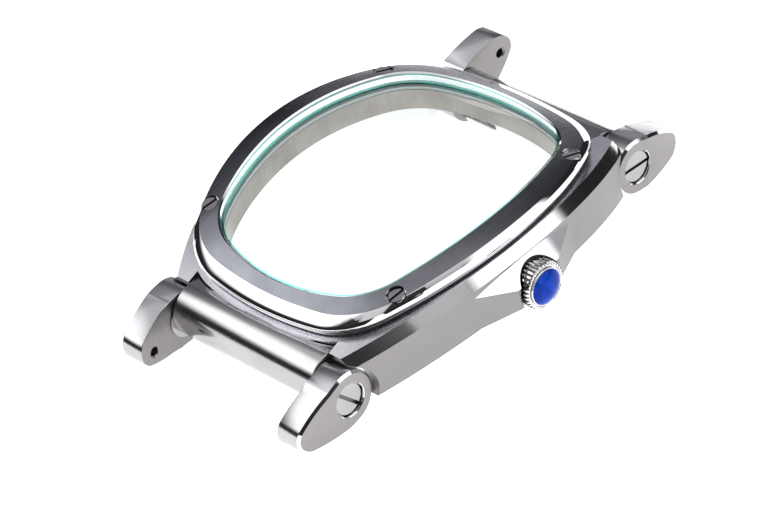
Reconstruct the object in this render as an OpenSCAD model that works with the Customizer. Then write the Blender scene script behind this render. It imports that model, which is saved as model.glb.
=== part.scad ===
// Empty wristwatch case: a bent cushion case with a screwed bezel, four hinged lugs and a cabochon crown.
// Millimetres. The origin is the centre of the case-back seat, +X points to the crown, +Y to twelve o'clock
// and +Z to the wearer's eye. Every height of the bent layers is the height of their middle, at y = 0.

/* [Case] */
// Width of the case over its two flanks, without crown and guard
case_w = 40.6; // [40:0.2:43]
// Radius of the bow of each flank, seen from above
flank_r = 42; // [39:1:60]
// Length of the case over its shoulders
shoulder_len = 43.8; // [43.6:0.1:44.6]
// Radius that the whole case is bent to along the strap
arch_r = 70; // [66:1:90]
// Height of the shoulders above the case-back seat
shoulder_h = 5.8; // [5.6:0.1:6.6]
// How far the flanks reach below the case-back seat
skirt_h = 0.36; // [0.3:0.02:0.8]
// Width of the polished bevel between shoulder and flank
bevel_w = 1; // [0.4:0.1:1.2]
// Height of the polished bevel between shoulder and flank
bevel_h = 0.9; // [0.4:0.1:1.2]

/* [Opening] */
// How far the inner wall stands in from the bezel's opening
rehaut = 0.25; // [0.2:0.05:0.5]
// Height of the dial ledge at the lower edge of the inner wall, above the case-back seat
dial_h = 3.1; // [2.9:0.05:3.3]
// Wall left between the movement bore and each flank
bore_side = 2.4; // [2.1:0.1:2.8]
// Wall left between the movement bore and each end of the shoulders
bore_end = 3; // [2.8:0.1:3.3]
// Wall left between the case-back recess and the flank
skirt_wall = 1.6; // [1.3:0.1:2]
// How far the end bars reach in under the ends of the shoulders
bar_inset = 0.5; // [0.3:0.05:0.7]
// Wall left between the case-back recess and the flank at the four corners
cheek_wall = 1.8; // [1.4:0.05:2.4]

/* [Bezel] */
// Strip of shoulder left beside the bezel's foot
bezel_side = 1.15; // [1:0.05:1.5]
// Strip of shoulder left at each end of the bezel's foot
bezel_end = 0.2; // [0.1:0.05:0.6]
// Height of the bezel from its underside to its crest
bezel_t = 2.1; // [1.9:0.1:2.6]
// Width of the bezel's band along the sides
band_side = 3.3; // [3.1:0.05:3.7]
// Width of the bezel's band at the two ends
band_end = 3; // [2.8:0.05:3.3]
// Width of the polished chamfer along the sides
chamfer_side = 0.55; // [0.3:0.05:0.7]
// Width of the polished chamfer at the two ends
chamfer_end = 1.4; // [0.8:0.1:1.6]
// Height of the polished chamfer
chamfer_h = 0.75; // [0.5:0.05:0.9]
// Fall of the brushed top face from its inner to its outer edge
top_fall = 0.35; // [0.1:0.05:0.5]
// Height of the plain land below the chamfer
land_h = 0.4; // [0.2:0.05:0.6]
// Step from the land in to the lower tier
tier_step = 0.3; // [0.1:0.05:0.5]
// Distance of the bezel screws in from the bowed sides of the bezel's foot
screw_side = 1.386; // [1.3:0.02:1.5]
// Distance of the bezel screws from the ends of the bezel's foot
screw_end = 7.6; // [7.4:0.05:8]
// Length of the bezel screws under their heads
bezel_shank_l = 3.4; // [2.8:0.1:3.6]
// Radius of the bezel screws' heads
bezel_head_r = 1.05; // [0.95:0.01:1.1]
// Height of the bezel screws' heads
bezel_head_h = 0.75; // [0.6:0.05:0.8]
// Depth of the bezel screws' heads below the top of the bezel's crest
bezel_head_drop = 0.38; // [0.3:0.02:0.5]

/* [Seals and crystal] */
// Thickness of the bezel gasket
bezel_gasket_t = 0.3; // [0.2:0.05:0.5]
// Thickness of the crystal's flange
flange_t = 0.6; // [0.5:0.05:0.65]
// Height of the crystal's raised middle above its flange
crystal_rise = 1; // [0.8:0.05:1.1]
// Width of the crystal's flange under the bezel
flange_w = 0.5; // [0.4:0.05:0.6]
// Thickness of the crystal gasket under the flange
crystal_gasket_t = 0.4; // [0.3:0.05:0.45]

/* [Lugs] */
// Width of the strap between the lugs
strap_w = 22.2; // [21.8:0.1:22.6]
// Distance of the lug pivots beyond the ends of the shoulders
pivot_out = 1.38; // [1.3:0.02:1.7]
// Depth of the lug pivots below the case-back seat
pivot_drop = 1.67; // [1.5:0.05:1.9]
// Radius of a lug's round end
lug_r = 3.45; // [3.3:0.05:3.5]
// Radius of a lug's tip
lug_tip_r = 2.15; // [1.6:0.05:2.4]
// Distance from a lug's pivot to the centre of its tip
lug_reach = 5.5; // [5:0.1:7]
// Radius of the two bowed edges of a lug, seen from the side
lug_bow_r = 16; // [12:1:40]
// Thickness of a lug
lug_t = 3.6; // [3.4:0.1:3.8]
// Angle by which a lug's arm leans in past its hub
lug_toe = 9; // [0:1:11]
// Gap between a lug's round end and the case
lug_gap = 0.25; // [0.2:0.01:0.3]
// Distance from a lug's pivot to its strap-bar hole
bar_reach = 5.6; // [5:0.1:6]
// How far the strap-bar hole lies below the middle of the lug
bar_off = 0.6; // [0:0.1:0.8]
// Radius of the blind holes for the strap bars
bar_hole_r = 0.55; // [0.4:0.05:0.7]
// Depth of the blind holes for the strap bars
bar_hole_l = 1.8; // [1:0.1:2]
// Angle of the front left lug above level
angle_front_left = -4; // [-60:1:38]
// Angle of the front right lug above level
angle_front_right = -16; // [-60:1:38]
// Angle of the rear left lug above level
angle_rear_left = 34; // [-60:1:38]
// Angle of the rear right lug above level
angle_rear_right = -13; // [-60:1:38]

/* [End bars] */
// Radius of the round nose of an end bar
nose_r = 3.2; // [3:0.05:3.3]
// Distance of the nose's centre beyond the ends of the shoulders
nose_out = 0.17; // [0.1:0.01:0.3]
// Depth of the nose's centre below the case-back seat
nose_drop = 0.98; // [0.8:0.02:1.2]
// Radius of the threaded axle tube in an end bar
axle_r = 1; // [0.9:0.02:1.1]
// Height of the ledge that carries the flat top of an end bar
deck_z = 1.3; // [1.2:0.05:1.6]
// Strip of shoulder left between the bezel's foot and an end bar
deck_strip = 0.25; // [0.2:0.05:0.4]
// Width of the tongue that holds an end bar
tongue_w = 11.6; // [10:0.2:12]
// Length of the tongue that holds an end bar
tongue_l = 1.7; // [1.6:0.05:1.9]
// Thickness of the tongue that holds an end bar
tongue_t = 1; // [0.8:0.1:1.2]

/* [Lug screws] */
// Radius of a lug screw's head
lug_head_r = 1.93; // [1.7:0.01:1.95]
// Height of a lug screw's head
lug_head_h = 1.05; // [0.8:0.05:1.1]
// Radius of a lug screw's shank
lug_shank_r = 0.73; // [0.65:0.01:0.8]
// Radius of a lug bush
bush_r = 1.2; // [1.1:0.05:1.4]
// Thickness of a lug washer
washer_t = 0.16; // [0.1:0.02:0.2]

/* [Crown] */
// Radius of the fluted crown
crown_r = 2.82; // [2.7:0.02:2.9]
// Length of the crown from its back to its front ring
crown_l = 2.25; // [2:0.05:2.5]
// Height of the crown's axis above the case-back seat
crown_h = 1.18; // [1.1:0.02:1.3]
// Number of flutes on the crown
flutes = 34; // [24:1:38]
// Radius of the cabochon
cabochon_r = 2.1; // [1.9:0.02:2.12]
// How far the cabochon's dome stands out of its setting
cabochon_dome = 0.75; // [0.4:0.05:0.9]
// Outer radius of the crown tube
tube_r = 1.05; // [1:0.01:1.1]
// Radius of the crown post
post_r = 0.75; // [0.7:0.01:0.78]
// Radius of the tapped hole for the winding stem
stem_hole_r = 0.45; // [0.4:0.01:0.5]
// How far the crown can be pulled out
crown_pull = 1.2; // [0.8:0.1:1.3]
// How far the guard's face stands out of the flank
guard_out = 1.5; // [1.3:0.05:1.7]
// Length of the guard where it leaves the flank
guard_l = 15.4; // [14:0.2:17]
// Length of the guard's face
guard_face_l = 6.4; // [6.2:0.2:7.5]

/* [Hidden] */
$fn = 64;
steel = "silver";
rubber = [0.08, 0.08, 0.09];
// Clearances: a running fit, a screw in its thread, a pressed joint and an open seam
run_gap = 0.03;
thread_gap = 0.02;
press_gap = 0.01;
seam = 0.15;
crown_gap = 0.23;
// Long enough to cut right through any piece
far = 60;

// Bows of each outline: radius of the sides, of the ends and of the corners
foot_bows = [33, 50, 9.5];
top_bows = [33, 51, 9.7];
window_bows = [34, 26, 8];
bore_bows = [35, 90, 4];
recess_bows = [40.4, 120, 3];

// Outlines are [half width, half length] and their bows
half_l = shoulder_len / 2;
bezel_foot = concat([case_w / 2 - bezel_side, half_l - bezel_end], foot_bows);
bezel_tier = grow(bezel_foot, -tier_step);
bezel_top = concat([bezel_foot[0] - chamfer_side, bezel_foot[1] - chamfer_end], top_bows);
window = concat([bezel_foot[0] - band_side, bezel_foot[1] - band_end], window_bows);
dial_open = grow(window, -rehaut);
movement_bore = concat([case_w / 2 - bore_side, half_l - bore_end], bore_bows);
recess = concat([case_w / 2 - skirt_wall, movement_bore[1] + seam], recess_bows);

// Heights of the bent layers above the case-back seat, taken at the middle
bezel_z = shoulder_h + bezel_gasket_t;
crest_z = bezel_z + bezel_t;
edge_z = crest_z - top_fall;
chamfer_z = edge_z - chamfer_h;
land_z = chamfer_z - land_h;
flange_z = shoulder_h + crystal_gasket_t;
rabbet_z = flange_z + flange_t;

// Bezel screws
screw_y = bezel_foot[1] - screw_end;
screw_x = bezel_foot[0] - foot_bows[0] + sqrt(foot_bows[0] * foot_bows[0] - screw_y * screw_y) - screw_side;
bezel_shank_r = 0.58;
bezel_tap_l = 2.4;
bezel_slot = [0.34, 0.3];
bezel_head_gap = 0.06;

// End bars, their tongues and screws
pivot_y = half_l + pivot_out;
pivot_z = -pivot_drop;
nose_y = half_l + nose_out;
nose_z = -nose_drop;
bar_in = half_l - bar_inset;
bar_end = strap_w / 2 - washer_t - 2 * thread_gap;
tongue_y = bar_in - tongue_l;
pocket_x = flank_x(tongue_y) - cheek_wall;
tongue_margin = 2;
tongue_top = 0.1;
tongue_root = 0.35;
deck_reach = 3;
tongue_hole = [tongue_w / 2 - tongue_margin, bar_in - tongue_l / 2];
bar_screw_r = 0.45;
bar_tap_l = 1.8;
bar_head_r = 0.75;
bar_slot = [0.2, 0.2];

// Threaded holes for the case back
back_out = 2.2;
back_in = 1.2;
back_hole = [tongue_w / 2 + back_out, bar_in - back_in];
back_hole_r = 0.6;
back_hole_l = 2;

// Lug screws
lug_slots = [[1, -1, -50], [1, 1, -6], [-1, -1, -35], [-1, 1, 20]];
head_sunk = 0.3;
lug_head_x = strap_w / 2 + lug_t - head_sunk;
lug_floor_x = lug_head_x - lug_head_h - 2 * thread_gap;
lug_head_gap = 0.12;
lug_thread_r = 0.58;
lug_thread_l = 3.2;
lug_slot = [0.42, 0.4];
notch_in = 0.35;
lug_relief = 0.3;

// Crown, guard and tube along X
guard_x = case_w / 2 + guard_out;
socket_l = 1.6;
guard_floor = guard_x - socket_l;
guard_root = 3;
guard_face_h = 1.3;
guard_sag = 1.2;
guard_sunk = 0.05;
guard_rows = 6;
crown_back = guard_floor + seam;
crown_front = crown_back + crown_l;
cavity_l = 1.6;
cavity_w = 0.6;
cavity_r = tube_r + cavity_w;
ring_r = (tube_r + cavity_r) / 2;
tube_start = 0.1;
tube_in = movement_bore[0] + tube_start;
tube_out = crown_back + cavity_l - seam;
flute_r = 0.17;
flute_end = 0.35;
gem_depth = 0.35;
gem_seat = crown_front - gem_depth;
post_start = 0.6;
post_grip = 0.3;
post_in = movement_bore[0] + post_start;
post_out = crown_back + cavity_l + post_grip;
stem_hole_l = 2.5;
setting_wall = 0.32;
setting_r = cabochon_r + setting_wall;
setting_h = 0.55;
setting_floor = 0.15;
groove_w = 0.18;
front_bore_r = setting_r + groove_w;
gem_band = 0.35;
washer_z = 0.2;
crown_washer_t = 0.3;
ring_z = 0.95;

function grow(o, d) = [for (v = o) v + d];
function drop(y) = arch_r - sqrt(arch_r * arch_r - y * y);

// Centre of the corner arc that runs smoothly into the side arc and the end arc
function corner(o) =
    let (p = [o[0] - o[2], 0], q = [0, o[1] - o[3]], d1 = o[2] - o[4], d2 = o[3] - o[4], d = norm(q - p),
        u = (q - p) / d, t = (d1 * d1 - d2 * d2 + d * d) / (2 * d), h = sqrt(d1 * d1 - t * t))
    p + t * u + h * [-u[1], u[0]];

function arc(c, r, a, b, n, last) = [for (i = [0 : last ? n : n - 1]) c + r * [cos(a + (b - a) * i / n),
    sin(a + (b - a) * i / n)]];

function quarter(o, n = 8) =
    let (c = corner(o), a = atan2(c[1], c[0] - o[0] + o[2]), b = atan2(c[1] - o[1] + o[3], c[0]))
    concat(arc([o[0] - o[2], 0], o[2], 0, a, n, false), arc(c, o[4], a, b, n, false),
        arc([0, o[1] - o[3]], o[3], b, 90, n, true));

function outline(o) =
    let (q = quarter(o), m = len(q) - 1)
    concat(q, [for (i = [1 : m]) [-q[m - i][0], q[m - i][1]]], [for (i = [1 : m]) -q[i]],
        [for (i = [1 : m - 1]) [q[m - i][0], -q[m - i][1]]]);

// Half width of the case at a place along it, with the flank moved in by d
function flank_x(y, d = 0) = case_w / 2 - flank_r + sqrt((flank_r - d) * (flank_r - d) - y * y);

function barrel(half_l, d, n = 20) = concat(
    [for (i = [0 : n]) let (y = -half_l + 2 * half_l * i / n) [flank_x(y, d), y]],
    [for (i = [0 : n]) let (y = half_l - 2 * half_l * i / n) [-flank_x(y, d), y]]);

// Solid under a cylindrical surface whose crest is at height z
module arch(z) {
    translate([0, 0, z - arch_r]) rotate([0, 90, 0]) cylinder(r = arch_r, h = far, center = true, $fn = 180);
}

module prism(points, low, high) {
    translate([0, 0, low]) linear_extrude(high - low) polygon(points);
}

// Layer of the outline between two bent surfaces
module bent_layer(points, low, high) {
    difference() {
        intersection() {
            prism(points, -far / 2, far / 2);
            arch(high);
        }
        arch(low);
    }
}

module bent_ring(outer, inner, low, high) {
    difference() {
        bent_layer(outer, low, high);
        prism(inner, -far / 2, far / 2);
    }
}

// Skin through a stack of outlines, each bent with the case: rings = [[points, height], ...] from below
module bent_loft(rings) {
    n = len(rings[0][0]);
    k = len(rings);
    skin = [for (r = rings) for (p = r[0]) [p[0], p[1], r[1] - drop(p[1])]];
    poles = [[0, 0, rings[0][1]], [0, 0, rings[k - 1][1]]];
    sides = [for (j = [0 : k - 2]) for (i = [0 : n - 1]) let (a = j * n + i, b = j * n + (i + 1) % n)
        each [[a, a + n, b + n], [a, b + n, b]]];
    ends = [for (i = [0 : n - 1]) let (m = (i + 1) % n, t = (k - 1) * n) each [[n * k, i, m], [n * k + 1, t + m, t + i]]];
    polyhedron(points = concat(skin, poles), faces = concat(sides, ends), convexity = 4);
}

// Places a child square to the bent top of the bezel, at each of its four screws
module at_bezel_screws() {
    for (sx = [-1, 1], sy = [-1, 1])
        translate([sx * screw_x, 0, crest_z - arch_r])
            rotate([-sy * asin(screw_y / arch_r), 0, 0])
                translate([0, 0, arch_r]) children();
}

// Runs from a to b along X, both measured outwards from the middle plane on the side sx
module along_x(sx, a, b, r, n = 64) {
    translate([sx > 0 ? a : -b, 0, 0]) rotate([0, 90, 0]) cylinder(r = r, h = b - a, $fn = n);
}

module at_pivots() {
    for (sx = [-1, 1], sy = [-1, 1]) translate([0, sy * pivot_y, pivot_z]) {
        $sx = sx;
        children();
    }
}

module at_crown() {
    translate([0, 0, crown_h]) rotate([0, 90, 0]) children();
}

// Case body

module case_block() {
    beyond = 1.3;
    out = barrel(half_l + bevel_w, -beyond * bevel_w);
    intersection() {
        bent_layer(barrel(half_l, 0), -skirt_h, shoulder_h);
        bent_loft([[out, -far / 4], [out, shoulder_h - (1 + beyond) * bevel_h],
            [barrel(half_l + bevel_w, (1 + beyond) * bevel_w), shoulder_h + beyond * bevel_h]]);
    }
}

module guard() {
    half = guard_l / 2;
    foot = flank_x(half);
    floor_z = -skirt_h - drop(half);
    rim_z = shoulder_h - bevel_h - guard_sunk;
    bow = [for (i = [-guard_rows : guard_rows]) half * i / guard_rows];
    rim = [for (y = bow) [flank_x(y) - guard_sunk, y, rim_z - guard_sag * y * y / (half * half)]];
    sole = [for (y = bow) [flank_x(y) - guard_sunk, y, floor_z]];
    face = [for (y = [-1, 1], z = [-1, 1]) [guard_x, y * guard_face_l / 2, crown_h + z * guard_face_h]];
    root = [for (y = [-1, 1], z = [floor_z, rim_z - guard_sag]) [foot - guard_root, y * half, z]];
    skin = concat(rim, sole, face, root);
    hull() polyhedron(points = skin, faces = [[for (i = [0 : len(skin) - 1]) i]]);
}

module lug_space() {
    r = lug_r + lug_gap;
    x = bar_end - thread_gap;
    for (sx = [-1, 1], sy = [-1, 1]) translate([0, sy * pivot_y, pivot_z]) {
        along_x(sx, x, far / 2, r);
        translate([sx > 0 ? x : -far / 2, sy > 0 ? notch_in - r : -far / 2, -far / 2])
            cube([far / 2 - x, far / 2 + r - notch_in, far / 2]);
    }
}

module mid_case() {
    color(steel) difference() {
        union() {
            case_block();
            guard();
        }
        bent_layer(outline(dial_open), dial_h / 2, far / 4);
        intersection() {
            prism(outline(movement_bore), -seam, far / 4);
            arch(dial_h);
        }
        prism(outline(recess), -far / 2, 0);
        for (s = [-1, 1]) {
            translate([-pocket_x, s > 0 ? 0 : -bar_in, -far / 2]) cube([2 * pocket_x, bar_in, far / 2]);
            for (t = [0, 1]) mirror([t, 0, 0]) mirror([0, s > 0 ? 0 : 1, 0])
                translate([bar_end - thread_gap, pivot_y - lug_r - lug_gap, -far / 2])
                    cube([pocket_x - bar_end + thread_gap, bar_in - pivot_y + lug_r + lug_gap, far / 2 + lug_relief]);
            translate([-bar_end - seam, s > 0 ? bar_in : -far - bar_in, -far / 2])
                cube([2 * (bar_end + seam), far, far / 2 + deck_z]);
            mirror([0, s > 0 ? 0 : 1, 0]) difference() {
                translate([-bar_end - seam, half_l - deck_reach, deck_z]) cube([2 * (bar_end + seam), far, far]);
                prism(outline(grow(bezel_foot, deck_strip)), 0, 2 * far);
            }
            mirror([0, s > 0 ? 0 : 1, 0]) translate([-tongue_w / 2 - seam, tongue_y - seam, -far / 2])
                cube([tongue_w + 2 * seam, tongue_l + 2 * seam, far / 2 + tongue_top]);
        }
        lug_space();
        at_crown() {
            cylinder(r = tube_r + press_gap, h = far / 2);
            translate([0, 0, guard_floor]) cylinder(r = crown_r + crown_gap, h = far / 4);
        }
        at_bezel_screws() translate([0, 0, -bezel_t - bezel_gasket_t - bezel_tap_l])
            cylinder(r = bezel_shank_r + thread_gap, h = far / 4);
        for (sx = [-1, 1], sy = [-1, 1]) {
            translate([sx * back_hole[0], sy * back_hole[1], -seam]) cylinder(r = back_hole_r, h = back_hole_l + seam);
            translate([sx * tongue_hole[0], sy * tongue_hole[1], -seam])
                cylinder(r = bar_screw_r + thread_gap, h = bar_tap_l + seam);
        }
    }
}

// End bars between the lugs, each on a tongue under the end of the case

module end_bar() {
    color([0.72, 0.72, 0.74]) difference() {
        union() {
            intersection() {
                translate([0, nose_y, nose_z]) rotate([0, 90, 0]) cylinder(r = nose_r, h = 2 * bar_end, center = true);
                translate([-far / 2, bar_in, -far / 2]) cube(far);
            }
            translate([-bar_end, half_l - deck_reach, deck_z])
                cube([2 * bar_end, deck_reach + nose_out, nose_z + nose_r - deck_z]);
            translate([-tongue_w / 2, tongue_y, tongue_top - tongue_t])
                cube([tongue_w, tongue_l + tongue_root, tongue_t]);
        }
        prism(outline(grow(bezel_foot, deck_strip + seam / 2)), deck_z - thread_gap, far);
        translate([0, pivot_y, pivot_z]) rotate([0, 90, 0]) cylinder(r = axle_r + press_gap, h = far, center = true);
        for (sx = [-1, 1]) translate([sx * tongue_hole[0], tongue_hole[1], -far / 4]) {
            cylinder(r = bar_screw_r + thread_gap, h = far / 2);
            cylinder(r = bar_head_r + thread_gap, h = far / 4 + tongue_top - tongue_t / 2);
        }
    }
}

module end_bar_rear() {
    end_bar();
}

module end_bar_front() {
    mirror([0, 1, 0]) end_bar();
}

module end_bar_screws() {
    head_h = tongue_t / 2 - thread_gap;
    color(steel) for (sx = [-1, 1], sy = [-1, 1])
        translate([sx * tongue_hole[0], sy * tongue_hole[1], tongue_top - tongue_t]) {
        translate([0, 0, head_h / 2]) cylinder(r = bar_screw_r, h = tongue_t + bar_tap_l - seam - head_h / 2);
        difference() {
            cylinder(r = bar_head_r, h = head_h);
            translate([-bar_head_r, -bar_slot[0] / 2, -bar_slot[1]]) cube([2 * bar_head_r, bar_slot[0], 2 * bar_slot[1]]);
        }
    }
}

// Bezel with its gasket and screws

module bezel() {
    beyond = 0.4;
    wide = bezel_foot + beyond * (bezel_foot - bezel_top);
    color([0.6, 0.61, 0.65]) difference() {
        intersection() {
            bent_loft([[outline(wide), bezel_z - bezel_t], [outline(wide), chamfer_z - beyond * chamfer_h],
                [outline(bezel_top), edge_z], [outline(window), crest_z]]);
            union() {
                bent_layer(outline(bezel_foot), land_z, crest_z + bezel_t);
                bent_layer(outline(bezel_tier), bezel_z, land_z + seam);
            }
        }
        prism(outline(window), -far / 2, far / 2);
        bent_layer(outline(grow(window, flange_w + seam)), bezel_z - bezel_t, rabbet_z + thread_gap);
        at_bezel_screws() {
            translate([0, 0, -far / 4]) cylinder(r = bezel_shank_r + thread_gap, h = far / 2);
            translate([0, 0, -bezel_head_drop - bezel_head_h - thread_gap])
                cylinder(r = bezel_head_r + bezel_head_gap, h = far / 4);
        }
    }
}

module bezel_gasket() {
    color(rubber) difference() {
        bent_ring(outline(grow(bezel_tier, -seam / 2)), outline(grow(window, flange_w + seam)),
            shoulder_h, bezel_z);
        at_bezel_screws() translate([0, 0, -far / 4]) cylinder(r = bezel_shank_r + thread_gap, h = far / 4);
    }
}

module bezel_screws() {
    color(steel) at_bezel_screws() translate([0, 0, -bezel_head_drop]) {
        difference() {
            translate([0, 0, -bezel_head_h]) cylinder(r = bezel_head_r, h = bezel_head_h);
            rotate([0, 0, 75]) translate([-2 * bezel_head_r, -bezel_slot[0] / 2, -bezel_slot[1]])
                cube([4 * bezel_head_r, bezel_slot[0], 2 * bezel_slot[1]]);
        }
        translate([0, 0, -bezel_head_h - bezel_shank_l]) cylinder(r = bezel_shank_r, h = bezel_shank_l + bezel_head_h / 2);
    }
}

// Crystal, held by its flange between the bezel and its gasket

module crystal() {
    color([0.75, 0.93, 0.9, 0.5]) union() {
        bent_layer(outline(grow(window, flange_w)), flange_z, rabbet_z);
        bent_layer(outline(grow(window, -seam)), flange_z + flange_t / 2, rabbet_z + crystal_rise);
    }
}

module crystal_gasket() {
    color(rubber) bent_ring(outline(grow(window, flange_w)), outline(grow(window, -seam)), shoulder_h, flange_z);
}

// Crown on its tube

module crown_tube() {
    color(steel) at_crown() difference() {
        translate([0, 0, tube_in]) cylinder(r = tube_r, h = tube_out - tube_in);
        cylinder(r = post_r + run_gap, h = far);
    }
}

module crown_shell() {
    color([0.8, 0.8, 0.82]) at_crown() difference() {
        translate([0, 0, crown_back]) cylinder(r = crown_r, h = crown_l);
        translate([0, 0, crown_back - cavity_l]) cylinder(r = cavity_r, h = 2 * cavity_l);
        cylinder(r = post_r + press_gap, h = post_out + press_gap);
        translate([0, 0, gem_seat]) cylinder(r = front_bore_r, h = crown_l);
        for (i = [0 : flutes - 1]) rotate([0, 0, 360 * i / flutes])
            translate([crown_r + run_gap, 0, crown_back - flute_end]) cylinder(r = flute_r, h = crown_l, $fn = 16);
    }
}

module crown_gasket() {
    color(rubber) at_crown() translate([0, 0, crown_back + ring_z]) rotate_extrude()
        translate([ring_r, 0]) circle(r = (cavity_r - tube_r) / 2 - run_gap);
}

module crown_washer() {
    color(steel) at_crown() translate([0, 0, crown_back + washer_z]) difference() {
        cylinder(r = cavity_r - run_gap, h = crown_washer_t);
        translate([0, 0, -far / 4]) cylinder(r = tube_r + run_gap, h = far / 2);
    }
}

module crown_post() {
    color(steel) at_crown() difference() {
        translate([0, 0, post_in]) cylinder(r = post_r, h = post_out - post_in);
        cylinder(r = stem_hole_r, h = post_in + stem_hole_l);
    }
}

module crown_setting() {
    color([0.85, 0.85, 0.86]) at_crown() translate([0, 0, gem_seat + press_gap]) difference() {
        cylinder(r = setting_r, h = setting_h);
        translate([0, 0, setting_floor]) cylinder(r = cabochon_r + press_gap, h = 2 * setting_h);
        translate([0, 0, -setting_h]) cylinder(r = cabochon_r - gem_band, h = 3 * setting_h);
    }
}

module cabochon() {
    dome_r = (cabochon_r * cabochon_r + cabochon_dome * cabochon_dome) / (2 * cabochon_dome);
    color([0.03, 0.2, 0.75]) at_crown() translate([0, 0, gem_seat + setting_floor + 2 * press_gap]) intersection() {
        cylinder(r = cabochon_r, h = gem_band + 2 * cabochon_dome);
        translate([0, 0, gem_band + cabochon_dome - dome_r]) sphere(r = dome_r, $fn = 96);
    }
}

// Lugs, hinged on bushes at the ends of the bars. A lug is drawn level, with its pivot at the origin

// Half of a lug's side view, on one side of its middle line. The bow touches both round ends
module lug_half() {
    d1 = lug_bow_r - lug_r;
    d2 = lug_bow_r - lug_tip_r;
    u = (d1 * d1 - d2 * d2 + lug_reach * lug_reach) / (2 * lug_reach);
    c = [u, -sqrt(d1 * d1 - u * u)];
    tip = [lug_reach, 0];
    intersection() {
        rotate([90, 0, 90]) linear_extrude(far) polygon([[0, 0], -2 * c, tip + 2 * (tip - c), tip]);
        translate([0, c[0], c[1]]) along_x(1, 0, far, lug_bow_r, 180);
    }
}

module lug_side() {
    along_x(1, 0, far, lug_r, 96);
    translate([0, lug_reach, 0]) along_x(1, 0, far, lug_tip_r);
    lug_half();
    mirror([0, 0, 1]) lug_half();
}

module lug_right() {
    side = strap_w / 2;
    hub = lug_r - lug_gap;
    lean = tan(lug_toe);
    reach = 2 * lug_reach;
    color([0.7, 0.69, 0.69]) difference() {
        intersection() {
            lug_side();
            prism([[side, -2 * lug_r], [side + lug_t, -2 * lug_r], [side + lug_t, lug_r / 2],
                [side + lug_t - (reach - lug_r / 2) * lean, reach], [side - (reach - hub) * lean, reach], [side, hub]],
                -far / 2, far / 2);
        }
        along_x(1, side - lug_t, side + 2 * lug_t, bush_r + run_gap);
        along_x(1, lug_floor_x, side + 2 * lug_t, lug_head_r + lug_head_gap);
        translate([0, bar_reach, -bar_off]) along_x(1, side - lug_t, side + bar_hole_l, bar_hole_r);
    }
}

module lug(sx, sy, angle) {
    translate([0, sy * pivot_y, pivot_z]) mirror([sx < 0 ? 1 : 0, 0, 0]) mirror([0, sy < 0 ? 1 : 0, 0])
        rotate([angle, 0, 0]) lug_right();
}

module lug_front_left() {
    lug(-1, -1, angle_front_left);
}

module lug_front_right() {
    lug(1, -1, angle_front_right);
}

module lug_rear_left() {
    lug(-1, 1, angle_rear_left);
}

module lug_rear_right() {
    lug(1, 1, angle_rear_right);
}

module axle() {
    color(steel) translate([0, pivot_y, pivot_z]) rotate([0, 90, 0]) difference() {
        cylinder(r = axle_r, h = 2 * bar_end, center = true);
        cylinder(r = lug_thread_r + thread_gap, h = far, center = true);
    }
}

module lug_axle_rear() {
    axle();
}

module lug_axle_front() {
    mirror([0, 1, 0]) axle();
}

module lug_bushes() {
    color([0.75, 0.72, 0.6]) at_pivots() difference() {
        along_x($sx, bar_end, lug_floor_x + thread_gap, bush_r);
        along_x($sx, 0, far / 2, lug_shank_r + thread_gap);
    }
}

module lug_washers() {
    color([0.5, 0.5, 0.52]) at_pivots() difference() {
        along_x($sx, bar_end, bar_end + washer_t, 2 * bush_r);
        along_x($sx, 0, far / 2, bush_r + run_gap);
    }
}

module lug_screws() {
    color(steel) for (s = lug_slots) translate([0, s[1] * pivot_y, pivot_z]) {
        difference() {
            along_x(s[0], lug_floor_x + thread_gap, lug_head_x, lug_head_r);
            translate([s[0] * lug_head_x, 0, 0]) rotate([s[2], 0, 0]) cube([2 * lug_slot[1], 3 * lug_head_r, lug_slot[0]], center = true);
        }
        along_x(s[0], bar_end, lug_head_x - lug_head_h / 2, lug_shank_r);
        along_x(s[0], bar_end - lug_thread_l, bar_end, lug_thread_r);
    }
}

mid_case();
end_bar_front();
end_bar_rear();
end_bar_screws();
bezel();
bezel_gasket();
bezel_screws();
crystal_gasket();
crown_tube();
lug_axle_front();
lug_axle_rear();
lug_bushes();
lug_washers();
lug_screws();
lug_front_left();
lug_front_right();
lug_rear_left();
lug_rear_right();
crown_gasket();
crown_washer();
crown_shell();
crown_post();
crown_setting();
cabochon();
crystal();
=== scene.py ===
import math

import bmesh
import bpy
from mathutils import Matrix, Vector


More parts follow.
